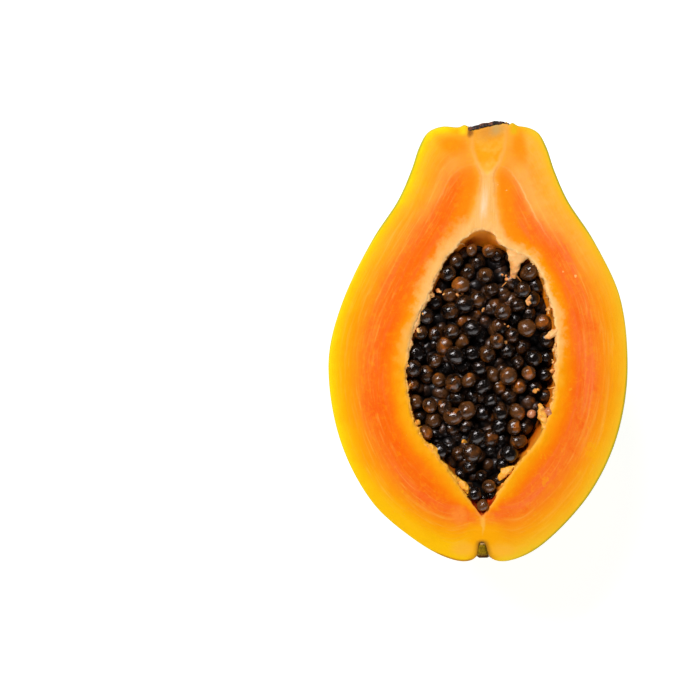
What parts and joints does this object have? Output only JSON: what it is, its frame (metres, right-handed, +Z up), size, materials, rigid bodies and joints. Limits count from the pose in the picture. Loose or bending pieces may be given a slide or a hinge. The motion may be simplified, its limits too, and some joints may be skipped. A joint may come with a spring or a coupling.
{
  "type": "papaya half",
  "caption": "Ripe papaya cut in half lengthwise, lying on its rounded back with the orange cut face up and dark seeds in the open hollow.",
  "frame": {"origin": "middle of the part's box, on the surface that it rests on", "axes": "+Z up out of the cut face, +Y along the fruit to its stem end, +X to the right as the cut face is seen with the stem end up"},
  "size_m": [0.1048, 0.1543, 0.0521],
  "materials": {
    "flesh": "moist ripe flesh in a thin waxy rind",
    "seeds": "wet and glossy",
    "stem_crust": "dry and rough",
    "flower_remnant": "dry and rough"
  },
  "bodies": {
    "root": {"papaya_half": "flesh", "seeds": "seeds", "stem_scar": "stem_crust", "blossom_scar": "flower_remnant"}
  },
  "joints": []
}
